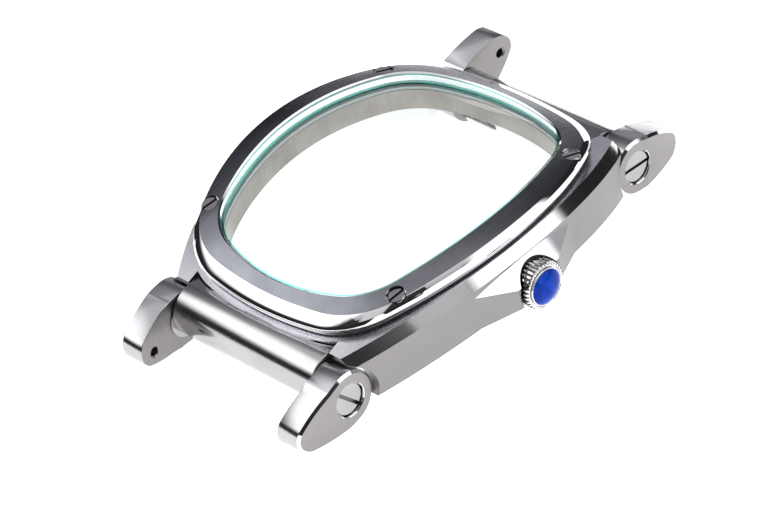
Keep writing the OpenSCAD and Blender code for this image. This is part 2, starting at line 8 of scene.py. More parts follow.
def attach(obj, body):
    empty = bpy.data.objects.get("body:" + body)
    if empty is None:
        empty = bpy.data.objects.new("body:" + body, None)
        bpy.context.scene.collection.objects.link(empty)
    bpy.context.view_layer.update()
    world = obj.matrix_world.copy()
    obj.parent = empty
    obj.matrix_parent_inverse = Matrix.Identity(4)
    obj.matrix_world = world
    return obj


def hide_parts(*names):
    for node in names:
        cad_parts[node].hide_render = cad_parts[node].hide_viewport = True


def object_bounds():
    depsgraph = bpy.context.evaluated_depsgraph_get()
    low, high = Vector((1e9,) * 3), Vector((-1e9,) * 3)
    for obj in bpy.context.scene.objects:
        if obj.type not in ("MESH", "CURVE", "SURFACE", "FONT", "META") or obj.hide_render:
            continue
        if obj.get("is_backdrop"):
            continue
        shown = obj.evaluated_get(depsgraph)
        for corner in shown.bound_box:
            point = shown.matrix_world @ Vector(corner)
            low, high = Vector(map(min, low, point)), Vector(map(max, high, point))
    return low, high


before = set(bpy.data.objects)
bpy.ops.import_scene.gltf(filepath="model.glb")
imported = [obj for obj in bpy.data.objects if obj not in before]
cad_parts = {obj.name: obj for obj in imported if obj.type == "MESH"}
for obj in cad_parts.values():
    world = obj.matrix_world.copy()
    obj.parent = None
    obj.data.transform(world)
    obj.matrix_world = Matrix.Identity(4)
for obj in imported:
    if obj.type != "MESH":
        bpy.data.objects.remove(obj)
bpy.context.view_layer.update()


# Case body: a steel cushion with bowed flanks, bent along the strap and milled open for the movement.
# The shoulders are brushed along the case, the bevels and the guard's slope are polished, the flanks, ends
# and inner wall are satin, and the bore and the underside are bright from the cutter.
case_w = 40.6
half_l = 21.9
flank_r = 42.0
arch_r = 70.0
shoulder_h = 5.8
skirt_h = 0.36
bevel = (1.12, 1.0)
# Each outline is a half width, a half length and the radii of its sides, ends and corners
dial_open = (15.6, 18.45, 33.75, 25.75, 7.75)
movement_bore = (17.9, 18.9, 35.0, 90.0, 4.0)
recess = (18.7, 19.05, 40.4, 120.0, 3.0)
foot = (19.15, 21.7, 33.0, 50.0, 9.5)
wall_z = 1.55
bore_roof = 3.1
pocket_x = 13.59
pivot_y = 23.28
pivot_z = -1.67
lug_floor_x = 10.88
bar_end = 10.9
bar_in = 21.4
deck_in = 18.9
deck_z = 1.3
tongue_top = 0.1
crown_h = 1.18
socket_x = 20.2
guard_half = 7.7
guard_x = 21.8


def metal(name, colour, rough, spread, strokes, depth, waves=0.0, fade=0.86):
    """Bare metal. strokes is how many scratches there are per millimetre along X, Y and Z"""
    mat = bpy.data.materials.new(name)
    mat.use_nodes = True
    tree = mat.node_tree
    add = tree.nodes.new
    link = tree.links.new
    shader = tree.nodes["Principled BSDF"]
    shader.inputs["Metallic"].default_value = 1.0
    place = add("ShaderNodeTexCoord")
    stretch = add("ShaderNodeMapping")
    stretch.inputs["Scale"].default_value = [1000 * s for s in strokes]
    link(place.outputs["Object"], stretch.inputs["Vector"])
    grain = add("ShaderNodeTexNoise")
    grain.inputs["Scale"].default_value = 1.0
    grain.inputs["Detail"].default_value = 3.0
    link(stretch.outputs["Vector"], grain.inputs["Vector"])
    cloud = add("ShaderNodeTexNoise")
    cloud.inputs["Scale"].default_value = 260.0
    cloud.inputs["Detail"].default_value = 2.0
    link(place.outputs["Object"], cloud.inputs["Vector"])
    gloss = add("ShaderNodeMapRange")
    gloss.inputs["To Min"].default_value = max(rough - spread, 0.02)
    gloss.inputs["To Max"].default_value = rough + spread
    link(grain.outputs["Fac"], gloss.inputs["Value"])
    link(gloss.outputs["Result"], shader.inputs["Roughness"])
    tint = add("ShaderNodeMix")
    tint.data_type = "RGBA"
    tint.inputs["A"].default_value = (*[fade * c for c in colour], 1)
    tint.inputs["B"].default_value = (*colour, 1)
    blend = add("ShaderNodeMath")
    blend.operation = "MULTIPLY_ADD"
    blend.inputs[1].default_value = 0.6
    link(grain.outputs["Fac"], blend.inputs[0])
    link(cloud.outputs["Fac"], blend.inputs[2])
    link(blend.outputs["Value"], tint.inputs["Factor"])
    link(tint.outputs["Result"], shader.inputs["Base Color"])
    scratch = add("ShaderNodeBump")
    scratch.inputs["Strength"].default_value = depth
    scratch.inputs["Distance"].default_value = 0.00002
    link(grain.outputs["Fac"], scratch.inputs["Height"])
    if waves:
        wave = add("ShaderNodeBump")
        wave.inputs["Strength"].default_value = waves
        wave.inputs["Distance"].default_value = 0.0001
        link(cloud.outputs["Fac"], wave.inputs["Height"])
        link(wave.outputs["Normal"], scratch.inputs["Normal"])
    link(scratch.outputs["Normal"], shader.inputs["Normal"])
    return mat


def drop(y):
    """How far the bent case falls below its middle"""
    return arch_r - math.sqrt(arch_r * arch_r - y * y)


def arc(bm, start, centre, angle, steps, axis=(0, 0, 1)):
    """Turns a vertex round a centre, leaves the line it draws, and gives the line's last vertex"""
    turned = bmesh.ops.spin(bm, geom=[start], cent=centre, axis=axis, angle=angle, steps=steps)
    return [v for v in turned["geom_last"] if isinstance(v, bmesh.types.BMVert)][0]


def add_part(bm, part):
    """Adds one bmesh to another and gives its new edges"""
    count = len(bm.edges)
    mesh = bpy.data.meshes.new("part")
    part.to_mesh(mesh)
    part.free()
    bm.from_mesh(mesh)
    bpy.data.meshes.remove(mesh)
    bm.edges.ensure_lookup_table()
    bm.faces.ensure_lookup_table()
    return bm.edges[count:]


def grow(form, by):
    """Outline that lies outside another one, everywhere at the same distance"""
    return tuple(size + by for size in form)


def outline(bm, form, z):
    """Cushion outline from three arcs that run into each other: half width, half length and the radii
    of side, end and corner"""
    half_w, half_len, side_r, end_r, corner_r = form
    side = Vector((half_w - side_r, 0))
    end = Vector((0, half_len - end_r))
    apart = (end - side).length
    along = (end - side) / apart
    near = side_r - corner_r
    far = end_r - corner_r
    t = (near * near - far * far + apart * apart) / (2 * apart)
    corner = side + t * along + math.sqrt(near * near - t * t) * Vector((-along.y, along.x))
    first = math.atan2(corner.y, corner.x - side.x)
    last = math.atan2(corner.y - end.y, corner.x)
    part = bmesh.new()
    v = part.verts.new((half_w, 0, z))
    v = arc(part, v, (side.x, 0, z), first, 14)
    v = arc(part, v, (corner.x, corner.y, z), last - first, 12)
    arc(part, v, (0, end.y, z), math.pi / 2 - last, 14)
    for axis in ("X", "Y"):
        bmesh.ops.mirror(part, geom=part.verts[:] + part.edges[:], axis=axis, merge_dist=0.0001)
    bmesh.ops.remove_doubles(part, verts=part.verts, dist=0.0005)
    return add_part(bm, part)


def bridge(bm, one, other, finish=0):
    """Joins two lines with a row of faces"""
    made = bmesh.ops.bridge_loops(bm, edges=one + other)
    for face in made["faces"]:
        face.material_index = finish
    return made["faces"]


def slice_across(bm, step, reach):
    """Cuts every face at even places along the case, so that the piece can be bent"""
    for i in range(-int(reach / step), int(reach / step) + 1):
        bmesh.ops.bisect_plane(bm, geom=bm.verts[:] + bm.edges[:] + bm.faces[:], dist=0.0001,
                               plane_co=(0, i * step + 0.01, 0), plane_no=(0, 1, 0))


def bend(bm, above=-99.0):
    """Bends a piece with the case, from a height up"""
    for v in bm.verts:
        if v.co.z > above:
            v.co.z -= drop(v.co.y)


def layer(form, low, high, finish, bend_from=-99.0):
    """Solid of one outline between two heights, bent with the case"""
    bm = bmesh.new()
    floor_loop = outline(bm, form, low)
    roof_loop = outline(bm, form, high)
    bridge(bm, floor_loop, roof_loop)
    bmesh.ops.holes_fill(bm, edges=[e for e in bm.edges if e.is_boundary], sides=0)
    slice_across(bm, 1.5, form[1])
    for face in bm.faces:
        face.material_index = finish
    bmesh.ops.recalc_face_normals(bm, faces=bm.faces)
    bend(bm, bend_from)
    return bm


def block(one, other, finish=0):
    """Box between two opposite corners"""
    bm = bmesh.new()
    bmesh.ops.create_cube(bm, size=1)
    bmesh.ops.scale(bm, vec=[abs(b - a) for a, b in zip(one, other)], verts=bm.verts)
    bmesh.ops.translate(bm, vec=[(a + b) / 2 for a, b in zip(one, other)], verts=bm.verts)
    for face in bm.faces:
        face.material_index = finish
    return bm


def rod(start, end, r, finish=0, steps=64):
    """Round bar between two points"""
    start = Vector(start)
    end = Vector(end)
    turn = (end - start).to_track_quat("Z", "Y").to_matrix().to_4x4()
    bm = bmesh.new()
    bmesh.ops.create_cone(bm, cap_ends=True, segments=steps, radius1=r, radius2=r, depth=(end - start).length,
                          matrix=Matrix.Translation((start + end) / 2) @ turn)
    for face in bm.faces:
        face.material_index = finish
    return bm


def cut(bm, tool, finishes, how="DIFFERENCE"):
    """Cuts a tool's shape out of a piece, or adds it, and gives the piece back"""
    pair = []
    for part in (bm, tool):
        bmesh.ops.recalc_face_normals(part, faces=part.faces)
        mesh = bpy.data.meshes.new("cut")
        part.to_mesh(mesh)
        part.free()
        for finish in finishes:
            mesh.materials.append(finish)
        pair.append(bpy.data.objects.new("cut", mesh))
        bpy.context.scene.collection.objects.link(pair[-1])
    step = pair[0].modifiers.new("cut", "BOOLEAN")
    step.operation = how
    step.solver = "EXACT"
    step.object = pair[1]
    mesh = bpy.data.meshes.new_from_object(pair[0].evaluated_get(bpy.context.evaluated_depsgraph_get()))
    out = bmesh.new()
    out.from_mesh(mesh)
    bpy.data.meshes.remove(mesh)
    for part in pair:
        mesh = part.data
        bpy.data.objects.remove(part)
        bpy.data.meshes.remove(mesh)
    return out


def place_piece(bm, name, finishes, body, nodes, crease=35):
    """Makes the finished piece from millimetres, and puts it on its body in place of its CAD nodes"""
    bmesh.ops.remove_doubles(bm, verts=bm.verts, dist=0.0005)
    bmesh.ops.recalc_face_normals(bm, faces=bm.faces)
    bmesh.ops.scale(bm, vec=(0.001, 0.001, 0.001), verts=bm.verts)
    mesh = bpy.data.meshes.new(name)
    bm.to_mesh(mesh)
    bm.free()
    for finish in finishes:
        mesh.materials.append(finish)
    mesh.shade_smooth()
    mesh.set_sharp_from_angle(angle=math.radians(crease))
    piece = bpy.data.objects.new(name, mesh)
    bpy.context.scene.collection.objects.link(piece)
    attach(piece, body)
    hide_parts(*nodes)
    return piece


satin = metal("satin_steel", (0.305, 0.293, 0.297), 0.32, 0.07, (9, 9, 9), 0.16)
brushed = metal("brushed_shoulder", (0.72, 0.71, 0.76), 0.26, 0.08, (8, 0.25, 0.5), 0.3, fade=0.66)
polished = metal("polished_steel", (0.85, 0.85, 0.86), 0.07, 0.02, (3, 3, 3), 0.02, 0.04)
inner_satin = metal("satin_inner_wall", (0.38, 0.348, 0.33), 0.36, 0.08, (3, 3, 0.2), 0.3, fade=0.45)
bore_steel = metal("bored_steel", (0.86, 0.86, 0.86), 0.2, 0.05, (9, 9, 0.5), 0.1)
case_finishes = [satin, brushed, polished, inner_satin, bore_steel]
on_flank, on_shoulder, on_bevel, on_wall, on_bore = range(5)


def flank(bm, inset, z):
    """Line of the right flank, seen from above"""
    r = flank_r - inset
    x = case_w / 2 - flank_r
    half = math.asin(half_l / r)
    start = bm.verts.new((x + r * math.cos(half), -half_l, z))
    arc(bm, start, (x, 0, z), 2 * half, 44)


case = bmesh.new()
levels = [(0, -skirt_h), (0, shoulder_h - bevel[1]), (bevel[0], shoulder_h)]
for inset, z in levels:
    flank(case, inset, z)
bmesh.ops.mirror(case, geom=case.verts[:] + case.edges[:], axis="X", merge_dist=0)
lines = [[[e for e in case.edges if all(abs(v.co.z - z) < 0.001 and v.co.x * side > 0 for v in e.verts)]
          for side in (-1, 1)] for inset, z in levels]
for side in (0, 1):
    bridge(case, lines[0][side], lines[1][side], on_flank)
    bridge(case, lines[1][side], lines[2][side], on_bevel)
bridge(case, lines[0][0], lines[0][1], on_flank)
bridge(case, lines[2][0], lines[2][1], on_shoulder)
bmesh.ops.holes_fill(case, edges=[e for e in case.edges if e.is_boundary], sides=0)
bend(case)

# The crown guard is the hull round a row on the bowed flank, its own flat face and its root inside the case
guard = bmesh.new()
guard_rows = 12
guard_sunk = 0.05
guard_sag = 1.2
guard_face_l = 3.2
guard_face_h = 1.3
guard_root = 3
guard_root_z = 3.65
flank_mid = case_w / 2 - flank_r
guard_foot = flank_mid + math.sqrt(flank_r ** 2 - guard_half ** 2)
sole = -skirt_h - drop(guard_half)
for i in range(-guard_rows, guard_rows + 1):
    y = guard_half * i / guard_rows
    x = flank_mid - guard_sunk + math.sqrt(flank_r ** 2 - y * y)
    guard.verts.new((x, y, shoulder_h - bevel[1] - guard_sunk - guard_sag * (i / guard_rows) ** 2))
    guard.verts.new((x, y, sole))
for y in (-1, 1):
    for z in (-1, 1):
        guard.verts.new((guard_x, guard_face_l * y, crown_h + guard_face_h * z))
    for z in (sole, guard_root_z):
        guard.verts.new((guard_foot - guard_root, guard_half * y, z))
bmesh.ops.convex_hull(guard, input=guard.verts)
bmesh.ops.recalc_face_normals(guard, faces=guard.faces)
for face in guard.faces:
    face.material_index = on_bevel if face.normal.z > 0.2 and face.normal.x > 0.2 else on_flank
case = cut(case, guard, case_finishes, "UNION")

# Openings from above and below, and then what is cut at both ends and at the four corners
below = -15
above = 15
outside = 30
unbent = 99
room = bar_end + 0.15
ledge_strip = 0.25
tongue_room = (5.95, 19.55, 21.55)
lug_room_r = 3.7
lug_room_in = 19.58
lug_notch_in = 19.93
relief_z = 0.3
tube_hole_r = 1.06
socket_r = 3.05
back_x = 8
back_y = 20.2
back_hole_r = 0.6
for opening in (layer(dial_open, wall_z, above, on_wall),
                layer(movement_bore, -0.15, bore_roof, on_bore, 0),
                layer(recess, below, 0, on_bore, unbent),
                block((-pocket_x, -bar_in, below), (pocket_x, bar_in, 0), on_bore)):
    case = cut(case, opening, case_finishes)
for side in (-1, 1):
    case = cut(case, block((-room, side * bar_in, below), (room, side * outside, deck_z)), case_finishes)
    ledge = block((-room, side * deck_in, deck_z), (room, side * outside, above))
    ledge = cut(ledge, layer(grow(foot, ledge_strip), 0, 40, on_shoulder, unbent), case_finishes)
    case = cut(case, ledge, case_finishes)
    wide, near, far = tongue_room
    case = cut(case, block((-wide, side * near, below), (wide, side * far, tongue_top)), case_finishes)
    for turn in (-1, 1):
        x = turn * lug_floor_x
        y = side * pivot_y
        lug_room = rod((x, y, pivot_z), (turn * outside, y, pivot_z), lug_room_r, on_flank, 96)
        relief = block((x, side * lug_room_in, below), (turn * pocket_x, side * bar_in, relief_z))
        notch = block((x, side * lug_notch_in, below), (turn * outside, side * 40, pivot_z))
        for opening in (lug_room, relief, notch):
            case = cut(case, opening, case_finishes)
case = cut(case, rod((10, 0, crown_h), (outside, 0, crown_h), tube_hole_r), case_finishes)
case = cut(case, rod((socket_x, 0, crown_h), (outside, 0, crown_h), socket_r, on_flank, 96), case_finishes)
for side in (-1, 1):
    for turn in (-1, 1):
        x = turn * back_x
        y = side * back_y
        back_hole = rod((x, y, -1), (x, y, 2), back_hole_r, on_flank, 32)
        case = cut(case, back_hole, case_finishes)
place_piece(case, "case_body", case_finishes, "case", ["mid_case"], 25)


# End bars: a satin steel bar with a round nose closes the case between each pair of lugs.
# Each is turned and milled from the bar. Its flat top reaches back to the bezel over a ledge of the case,
# and its tongue is screwed to the case from below.
nose_y = 22.07
nose_z = -0.98
nose_r = 3.2
bar_steel = metal("bar_steel", (0.50, 0.49, 0.495), 0.16, 0.05, (0.5, 12, 12), 0.22, fade=0.8)
bar_finishes = [bar_steel, satin, bore_steel]
on_nose, on_bar_end, on_tongue = range(3)
deck_strip = 0.42
tongue_half = 5.8
tongue_in = 19.7
tongue_out = 21.75
tongue_low = -0.9
tongue_x = 3.8
tongue_y = 20.55
axle_hole_r = 1.01


def fill_and_extrude(bm, by, finish=0, rim=0):
    """Closes a flat outline and gives it its thickness"""
    made = bmesh.ops.contextual_create(bm, geom=bm.edges[:])
    for face in made["faces"]:
        face.material_index = finish
    raised = bmesh.ops.extrude_face_region(bm, geom=made["faces"], use_keep_orig=True)
    bmesh.ops.translate(bm, vec=by, verts=[v for v in raised["geom"] if isinstance(v, bmesh.types.BMVert)])
    across = Vector(by).normalized()
    bmesh.ops.recalc_face_normals(bm, faces=bm.faces)
    for face in bm.faces:
        face.material_index = finish if abs(face.normal.dot(across)) > 0.9 else rim


def end_bar(side):
    """Bar of the rear end, or its mirror image for the front"""
    bm = bmesh.new()
    back = math.asin((nose_y - bar_in) / nose_r)
    start = bm.verts.new((-bar_end, bar_in, nose_z - nose_r * math.cos(back)))
    last = arc(bm, start, (0, nose_y, nose_z), math.pi + 2 * back, 48, (1, 0, 0))
    bm.edges.new((start, last))
    fill_and_extrude(bm, (2 * bar_end, 0, 0), on_bar_end, on_nose)
    rims = []
    for e in bm.edges:
        one, other = (v.co for v in e.verts)
        at_end = abs(abs(one.x) - bar_end) < 0.01 and abs(one.x - other.x) < 0.01
        if at_end and min(one.y, other.y) > bar_in + 0.01:
            rims.append(e)
    bmesh.ops.bevel(bm, geom=rims, offset=0.12, segments=3, profile=0.5, affect="EDGES", material=-1)
    deck = block((-bar_end, deck_in, deck_z), (bar_end, nose_y, nose_z + nose_r))
    deck = cut(deck, layer(grow(foot, deck_strip), 0, 40, on_nose, unbent), bar_finishes)
    bm = cut(bm, deck, bar_finishes, "UNION")
    tongue = block((-tongue_half, tongue_in, tongue_low), (tongue_half, tongue_out, tongue_top), on_tongue)
    bm = cut(bm, tongue, bar_finishes, "UNION")
    for face in bm.faces:
        if face.normal.y < -0.99:
            face.material_index = on_tongue
    axle_hole = rod((-12, pivot_y, pivot_z), (12, pivot_y, pivot_z), axle_hole_r, on_bar_end)
    bm = cut(bm, axle_hole, bar_finishes)
    for turn in (-1, 1):
        x = turn * tongue_x
        for high, r in ((1, 0.47), (-0.4, 0.77)):
            bm = cut(bm, rod((x, tongue_y, -2), (x, tongue_y, high), r, on_bar_end, 32), bar_finishes)
    if side < 0:
        bmesh.ops.scale(bm, vec=(1, -1, 1), verts=bm.verts)
        bmesh.ops.reverse_faces(bm, faces=bm.faces)
    return bm


for side, name in ((-1, "end_bar_front"), (1, "end_bar_rear")):
    place_piece(end_bar(side), name + "_piece", bar_finishes, "case", [name])


# Bezel: a flat cushion ring, milled and bent to the case, with a low step at its foot.
# Its top is brushed along the case. Its outer bevel, in two facets, its land and its inner edge are polished.
tier = grow(foot, -0.3)
knee = (19.03, 21.39, 33.0, 50.4, 9.6)
rim = (18.6, 20.3, 33.0, 51.0, 9.7)
window = (15.85, 18.7, 34.0, 26.0, 8.0)
rabbet = grow(window, 0.65)
bezel_z = 6.1
tier_z = 6.7
rabbet_z = 6.82
land_z = 7.05
knee_z = 7.45
rim_z = 7.85
window_z = 8.02
crest_z = 8.175
bezel_top = metal("brushed_bezel", (0.255, 0.26, 0.29), 0.24, 0.1, (9, 0.22, 0.4), 0.45, fade=0.42)
bezel_edge = metal("polished_bezel", (0.85, 0.85, 0.87), 0.05, 0.02, (3, 3, 3), 0.02, 0.05)
bezel_low = metal("satin_bezel", (0.45, 0.45, 0.46), 0.3, 0.06, (9, 9, 9), 0.15)
bezel_finishes = [bezel_top, bezel_edge, bezel_low]
on_top, on_edge, on_under = range(3)


def ring_of(steps):
    """Ring through a closed row of outlines: (outline, height, finish of the face that comes after it)"""
    bm = bmesh.new()
    loops = [outline(bm, form, z) for form, z, finish in steps]
    for i, (form, z, finish) in enumerate(steps):
        bridge(bm, loops[i], loops[(i + 1) % len(steps)], finish)
    bmesh.ops.recalc_face_normals(bm, faces=bm.faces)
    return bm, loops


bezel, loops = ring_of([
    (window, window_z, on_edge), (window, rabbet_z, on_edge), (rabbet, rabbet_z, on_edge),
    (rabbet, bezel_z, on_under), (tier, bezel_z, on_edge), (tier, tier_z, on_edge), (foot, tier_z, on_edge),
    (foot, land_z, on_edge), (knee, knee_z, on_edge), (rim, rim_z, on_top),
    (grow(window, 0.2), crest_z, on_edge)])
rounded = [e for i in (4, 6, 7, 9) for e in loops[i]]
bmesh.ops.bevel(bezel, geom=rounded, offset=0.045, segments=2, profile=0.5, affect="EDGES", material=-1)
bend(bezel)


def lathe(profile, finish=0, steps=48):
    """Turned piece about Z from its profile: (radius, height)"""
    bm = bmesh.new()
    verts = [bm.verts.new((r, 0, z)) for r, z in profile]
    edges = [bm.edges.new(pair) for pair in zip(verts, verts[1:])]
    bmesh.ops.spin(bm, geom=verts + edges, cent=(0, 0, 0), axis=(0, 0, 1), angle=2 * math.pi,
                   steps=steps, use_merge=True)
    bmesh.ops.remove_doubles(bm, verts=bm.verts, dist=0.0005)
    bmesh.ops.recalc_face_normals(bm, faces=bm.faces)
    for face in bm.faces:
        face.material_index = finish
    return bm


screw_at = []
screw_x = 14.6
screw_y = 14.1
screw_z = 8.2
for sx in (-1, 1):
    for sy in (-1, 1):
        tilt = Matrix.Rotation(-sy * math.asin(screw_y / arch_r), 4, "X")
        arch_axis = Matrix.Translation((sx * screw_x, 0, screw_z - arch_r))
        screw_at.append(arch_axis @ tilt @ Matrix.Translation((0, 0, arch_r)))
for seat in screw_at:
    hole = lathe([(0, -3), (0.6, -3), (0.6, -1.15), (1.13, -1.15), (1.13, -0.06), (1.3, 0.13),
                  (1.3, 2), (0, 2)], on_edge)
    bmesh.ops.transform(hole, matrix=seat, verts=hole.verts)
    bezel = cut(bezel, hole, bezel_finishes)
place_piece(bezel, "bezel_ring", bezel_finishes, "case", ["bezel"], 28)


# Bezel screws: four turned steel screws with slotted, slightly chamfered heads, sunk in the bezel.
# They go through the bezel and its seal into the case.
screw_steel = metal("screw_steel", (0.48, 0.47, 0.475), 0.2, 0.07, (18, 1, 18), 0.2)
# Dark steel for the faces inside the screws' slots: painted shade, as the slots lie in shade
slot_painted_shade = metal("screw_slot_painted_shade", (0.18, 0.18, 0.18), 0.35, 0.1, (9, 9, 9), 0.1)
screw_finishes = [screw_steel, slot_painted_shade]


def slotted(profile, width, depth, steps=48):
    """Turned screw with its head's top at height 0 and a slot across it"""
    bm = lathe(profile, 0, steps)
    # The slot's faces take the second finish, the painted shade
    return cut(bm, block((-3, -width / 2, -depth), (3, width / 2, 1), 1), screw_finishes)


screws = bmesh.new()
head_sunk = 0.38
for seat, turn in zip(screw_at, (75, 68, 79, 75)):
    one = slotted([(0, 0), (0.92, 0), (1.03, -0.11), (1.03, -0.75), (0.58, -0.75), (0.58, -4.0),
                   (0.45, -4.15), (0, -4.15)], width=0.34, depth=0.3)
    seat = seat @ Matrix.Translation((0, 0, -head_sunk)) @ Matrix.Rotation(math.radians(turn), 4, "Z")
    bmesh.ops.transform(one, matrix=seat, verts=one.verts)
    add_part(screws, one)
place_piece(screws, "bezel_screw_set", screw_finishes, "case", ["bezel_screws"])


# Seals: a black rubber gasket under the bezel and a white nylon one under the crystal, both cut flat and bent
# into place by the bezel's screws. A third, round one of rubber is in the crown.
rubber = bpy.data.materials.new("seal_rubber")
rubber.use_nodes = True
tree = rubber.node_tree
shader = tree.nodes["Principled BSDF"]
shader.inputs["Base Color"].default_value = (0.012, 0.012, 0.014, 1)
place = tree.nodes.new("ShaderNodeTexCoord")
grit = tree.nodes.new("ShaderNodeTexNoise")
grit.inputs["Scale"].default_value = 9000.0
tree.links.new(place.outputs["Object"], grit.inputs["Vector"])
matt = tree.nodes.new("ShaderNodeMapRange")
matt.inputs["To Min"].default_value = 0.45
matt.inputs["To Max"].default_value = 0.7
tree.links.new(grit.outputs["Fac"], matt.inputs["Value"])
tree.links.new(matt.outputs["Result"], shader.inputs["Roughness"])
skin = tree.nodes.new("ShaderNodeBump")
skin.inputs["Strength"].default_value = 0.2
skin.inputs["Distance"].default_value = 0.00002
tree.links.new(grit.outputs["Fac"], skin.inputs["Height"])
tree.links.new(skin.outputs["Normal"], shader.inputs["Normal"])


def dress(name, finish):
    """Gives a CAD node its finish"""
    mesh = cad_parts[name].data
    mesh.materials.clear()
    mesh.materials.append(finish)


dress("bezel_gasket", rubber)
dress("crown_gasket", rubber)
nylon = rubber.copy()
nylon.name = "white_nylon"
nylon.node_tree.nodes["Principled BSDF"].inputs["Base Color"].default_value = (0.62, 0.64, 0.64, 1)
dress("crystal_gasket", nylon)


# Crystal: clear sapphire, ground to the bezel's opening, bent like the case and polished.
# It sits on its seal, and the bezel holds it by its flange. Its edge looks green because light runs along it.
def clear(name, through_colour, colour, low, high):
    """Glass that lets light straight through. It mirrors the share low, seen square, and high, seen flat"""
    mat = bpy.data.materials.new(name)
    mat.use_nodes = True
    tree = mat.node_tree
    shader = tree.nodes["Principled BSDF"]
    shader.inputs["Metallic"].default_value = 1.0
    shader.inputs["Base Color"].default_value = (*colour, 1)
    through = tree.nodes.new("ShaderNodeBsdfTransparent")
    through.inputs["Color"].default_value = (*through_colour, 1)
    place = tree.nodes.new("ShaderNodeTexCoord")
    haze = tree.nodes.new("ShaderNodeTexNoise")
    haze.inputs["Scale"].default_value = 220.0
    tree.links.new(place.outputs["Object"], haze.inputs["Vector"])
    gloss = tree.nodes.new("ShaderNodeMapRange")
    gloss.inputs["To Min"].default_value = 0.02
    gloss.inputs["To Max"].default_value = 0.06
    tree.links.new(haze.outputs["Fac"], gloss.inputs["Value"])
    tree.links.new(gloss.outputs["Result"], shader.inputs["Roughness"])
    facing = tree.nodes.new("ShaderNodeLayerWeight")
    steep = tree.nodes.new("ShaderNodeMath")
    steep.operation = "POWER"
    steep.inputs[1].default_value = 4.0
    tree.links.new(facing.outputs["Facing"], steep.inputs[0])
    share = tree.nodes.new("ShaderNodeMapRange")
    share.inputs["To Min"].default_value = low
    share.inputs["To Max"].default_value = high
    tree.links.new(steep.outputs["Value"], share.inputs["Value"])
    mix = tree.nodes.new("ShaderNodeMixShader")
    tree.links.new(share.outputs["Result"], mix.inputs["Fac"])
    tree.links.new(through.outputs["BSDF"], mix.inputs[1])
    tree.links.new(shader.outputs["BSDF"], mix.inputs[2])
    tree.links.new(mix.outputs["Shader"], tree.nodes["Material Output"].inputs["Surface"])
    return mat


glass_finishes = [clear("crystal_face", (0.99, 1.0, 0.998), (0.95, 0.97, 0.97), 0.02, 0.5),
                  clear("crystal_edge", (0.80, 0.97, 0.94), (0.10, 0.52, 0.46), 0.75, 0.05),
                  clear("crystal_side", (0.97, 1.0, 0.992), (0.85, 0.97, 0.95), 0.0, 0.15)]
on_face, on_green, on_side = range(3)
crystal = bmesh.new()
flange = grow(window, 0.5)
neck = grow(window, -0.15)
flange_z = 6.2
flange_top = 6.8
dome_z = 7.8
steps = [(flange, flange_z, on_side), (flange, flange_top, on_green), (neck, flange_top, on_green),
         (neck, 6.9, on_side), (neck, 7.6, on_green), (grow(window, -0.4), dome_z, on_face)]
loops = [outline(crystal, form, z) for form, z, finish in steps]
for i, (form, z, finish) in enumerate(steps[:-1]):
    bridge(crystal, loops[i], loops[i + 1], finish)
bmesh.ops.holes_fill(crystal, edges=[e for e in crystal.edges if e.is_boundary], sides=0)
slice_across(crystal, 1.0, flange[1])
bmesh.ops.recalc_face_normals(crystal, faces=crystal.faces)
for face in crystal.faces:
    z = face.calc_center_median().z
    if abs(face.normal.z) > 0.99 and (z > dome_z - 0.1 or z < flange_z + 0.1):
        face.material_index = on_face if face.normal.z > 0 else on_side
bend(crystal)
place_piece(crystal, "crystal_glass", glass_finishes, "case", ["crystal"])


# Lugs: four milled steel arms that hinge at the corners of the case. The side faces are satin, the rims are
# brushed, and a narrow bevel round the outer face is polished. Each has a blind hole for the strap bar.
lug_face = metal("lug_face", (0.335, 0.32, 0.325), 0.3, 0.07, (10, 10, 1.2), 0.2)
lug_rim = metal("lug_rim", (0.52, 0.515, 0.535), 0.17, 0.05, (14, 0.8, 0.8), 0.25)
# Darker copy of the lug's satin for the faces that look in towards the case: painted shade, where the case
# shades them
lug_inside_painted_shade = metal("lug_inner_face_painted_shade", (0.30, 0.29, 0.285), 0.34, 0.07, (10, 10, 1.2), 0.2)
lug_finishes = [lug_face, lug_rim, polished, lug_inside_painted_shade]
on_lug_side, on_lug_rim, on_lug_bevel, on_lug_inside_painted_shade = range(4)
lug_in = 11.1
lug_out = 14.7
lug_r = 3.45
tip_r = 2.15
tip_y = 5.5
bow_r = 16.0
bush_hole_r = 1.23
strap_bar_y = 5.6
strap_bar_z = -0.6


